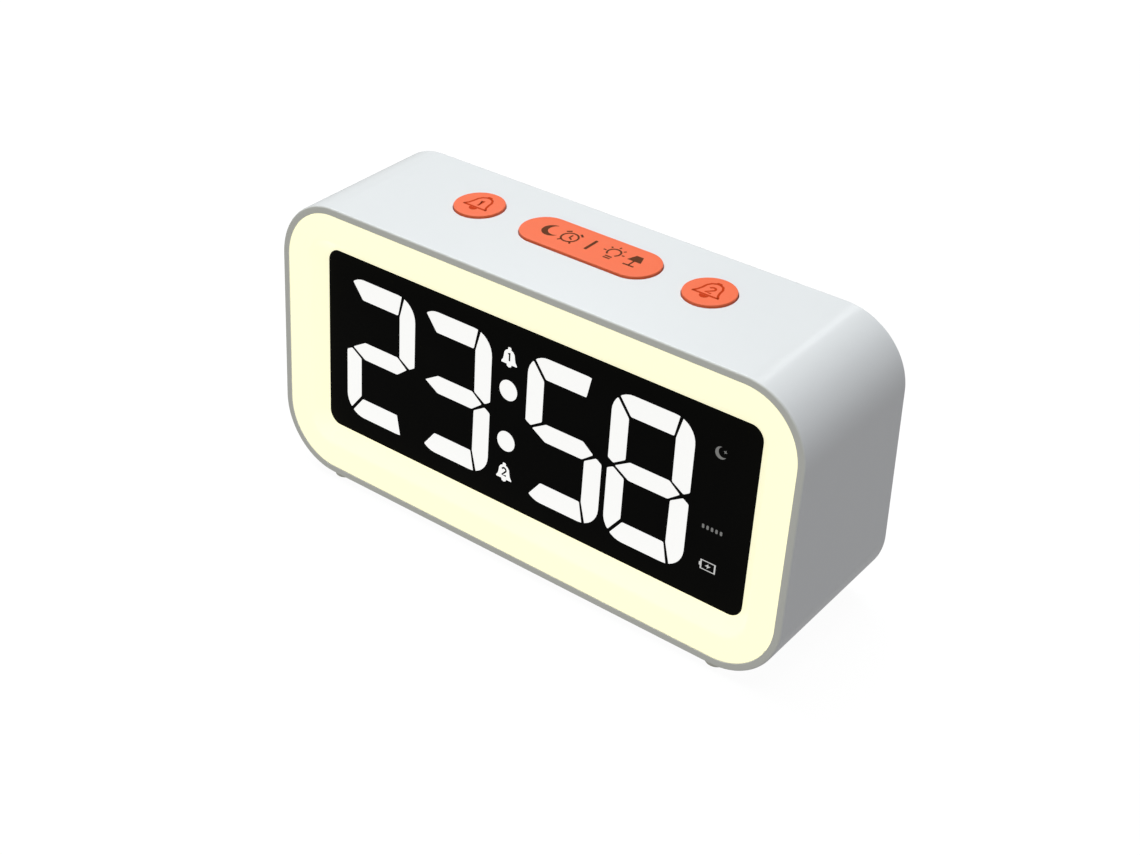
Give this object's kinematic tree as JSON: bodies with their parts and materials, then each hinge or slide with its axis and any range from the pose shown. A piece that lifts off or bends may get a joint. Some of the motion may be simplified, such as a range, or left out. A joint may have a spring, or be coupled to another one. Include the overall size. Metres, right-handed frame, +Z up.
{
  "type": "alarm clock",
  "caption": "Table alarm clock with a rounded white sleeve, a leaning front with a glowing diffuser ring round a black digital display, and orange push buttons on top.",
  "frame": {"origin": "on the table, under the middle of the clock's bounding box", "axes": "+X to the right seen from the front, +Y from the front to the back, +Z up"},
  "size_m": [0.16, 0.0488, 0.08],
  "materials": {
    "shell_white": "glossy injection-moulded white plastic",
    "cover_white": "finely textured moulded white plastic",
    "ring_diffuser": "milky warm-white light diffuser, lit",
    "window_black": "smoked black display window",
    "inner_white": "white reflecting plastic",
    "inner_black": "black plastic",
    "digit_glow": "lit white diffuser",
    "board_green": "green solder resist on glass-fibre board",
    "led_chip": "phosphor-coated chip light",
    "chip_black": "black epoxy chip package",
    "screw_steel": "zinc-plated steel screw",
    "button_orange": "satin orange plastic",
    "switch_black": "black switch housing and plunger",
    "key_grey": "satin light grey plastic",
    "can_steel": "plated metal can",
    "socket_ivory": "ivory connector plastic",
    "cable_grey": "flat cable film",
    "cell_sleeve": "blue shrink sleeve over a metal cell",
    "lead_red": "red wire insulation",
    "lead_black": "black wire insulation",
    "speaker_frame": "black pressed-steel basket",
    "speaker_paper": "coated paper cone",
    "speaker_iron": "magnet and plated yoke",
    "gasket_foam": "closed-cell foam",
    "foot_rubber": "grey soft rubber"
  },
  "bodies": {
    "case": {"housing": "shell_white", "rear_cover": "cover_white", "light_ring": "ring_diffuser", "display_window": "window_black", "light_frame": "inner_white", "segment_reflector": "inner_black", "digit_1": "digit_glow", "digit_2": "digit_glow", "digit_3": "digit_glow", "digit_4": "digit_glow", "colon_dots": "digit_glow", "indicator_lights": "digit_glow", "display_board": "board_green", "segment_leds": "led_chip", "night_light_leds": "led_chip", "display_drivers": "chip_black", "display_screws": "screw_steel", "key_board": "board_green", "top_switches": "switch_black", "key_board_screws": "screw_steel", "rear_switches": "switch_black", "main_board": "board_green", "main_board_screws": "screw_steel", "microcontroller": "chip_black", "crystal": "can_steel", "capacitors": "can_steel", "wire_sockets": "socket_ivory", "usb_port": "can_steel", "ribbon_cable": "cable_grey", "key_cable": "lead_black", "battery_cell": "cell_sleeve", "battery_lead_positive": "lead_red", "battery_lead_negative": "lead_black", "speaker_basket": "speaker_frame", "speaker_cone": "speaker_paper", "speaker_magnet": "speaker_iron", "speaker_gasket": "gasket_foam", "speaker_screws": "screw_steel", "speaker_leads": "lead_red", "cover_screws": "screw_steel", "rubber_feet": "foot_rubber"},
    "alarm_1_cap": {"alarm_1_button": "button_orange", "alarm_1_plunger": "switch_black"},
    "snooze_cap": {"snooze_button": "button_orange", "snooze_plunger": "switch_black"},
    "alarm_2_cap": {"alarm_2_button": "button_orange", "alarm_2_plunger": "switch_black"},
    "set_cap": {"set_key": "key_grey", "set_plunger": "switch_black"},
    "up_cap": {"up_key": "key_grey", "up_plunger": "switch_black"},
    "down_cap": {"down_key": "key_grey", "down_plunger": "switch_black"},
    "mode_cap": {"mode_key": "key_grey", "mode_plunger": "switch_black"}
  },
  "joints": [
    {"name": "alarm_1_press", "type": "slide", "parent": "case", "child": "alarm_1_cap", "axis": [0, 0, -1], "range_m": [0, 0.0004], "stiffness_N_per_m": 1200, "springref_m": -0.0008},
    {"name": "snooze_press", "type": "slide", "parent": "case", "child": "snooze_cap", "axis": [0, 0, -1], "range_m": [0, 0.0004], "stiffness_N_per_m": 1200, "springref_m": -0.0008},
    {"name": "alarm_2_press", "type": "slide", "parent": "case", "child": "alarm_2_cap", "axis": [0, 0, -1], "range_m": [0, 0.0004], "stiffness_N_per_m": 1200, "springref_m": -0.0008},
    {"name": "set_press", "type": "slide", "parent": "case", "child": "set_cap", "axis": [0, -1, 0], "range_m": [0, 0.0005], "stiffness_N_per_m": 1200, "springref_m": -0.0006},
    {"name": "up_press", "type": "slide", "parent": "case", "child": "up_cap", "axis": [0, -1, 0], "range_m": [0, 0.0005], "stiffness_N_per_m": 1200, "springref_m": -0.0006},
    {"name": "down_press", "type": "slide", "parent": "case", "child": "down_cap", "axis": [0, -1, 0], "range_m": [0, 0.0005], "stiffness_N_per_m": 1200, "springref_m": -0.0006},
    {"name": "mode_press", "type": "slide", "parent": "case", "child": "mode_cap", "axis": [0, -1, 0], "range_m": [0, 0.0005], "stiffness_N_per_m": 1200, "springref_m": -0.0006}
  ]
}
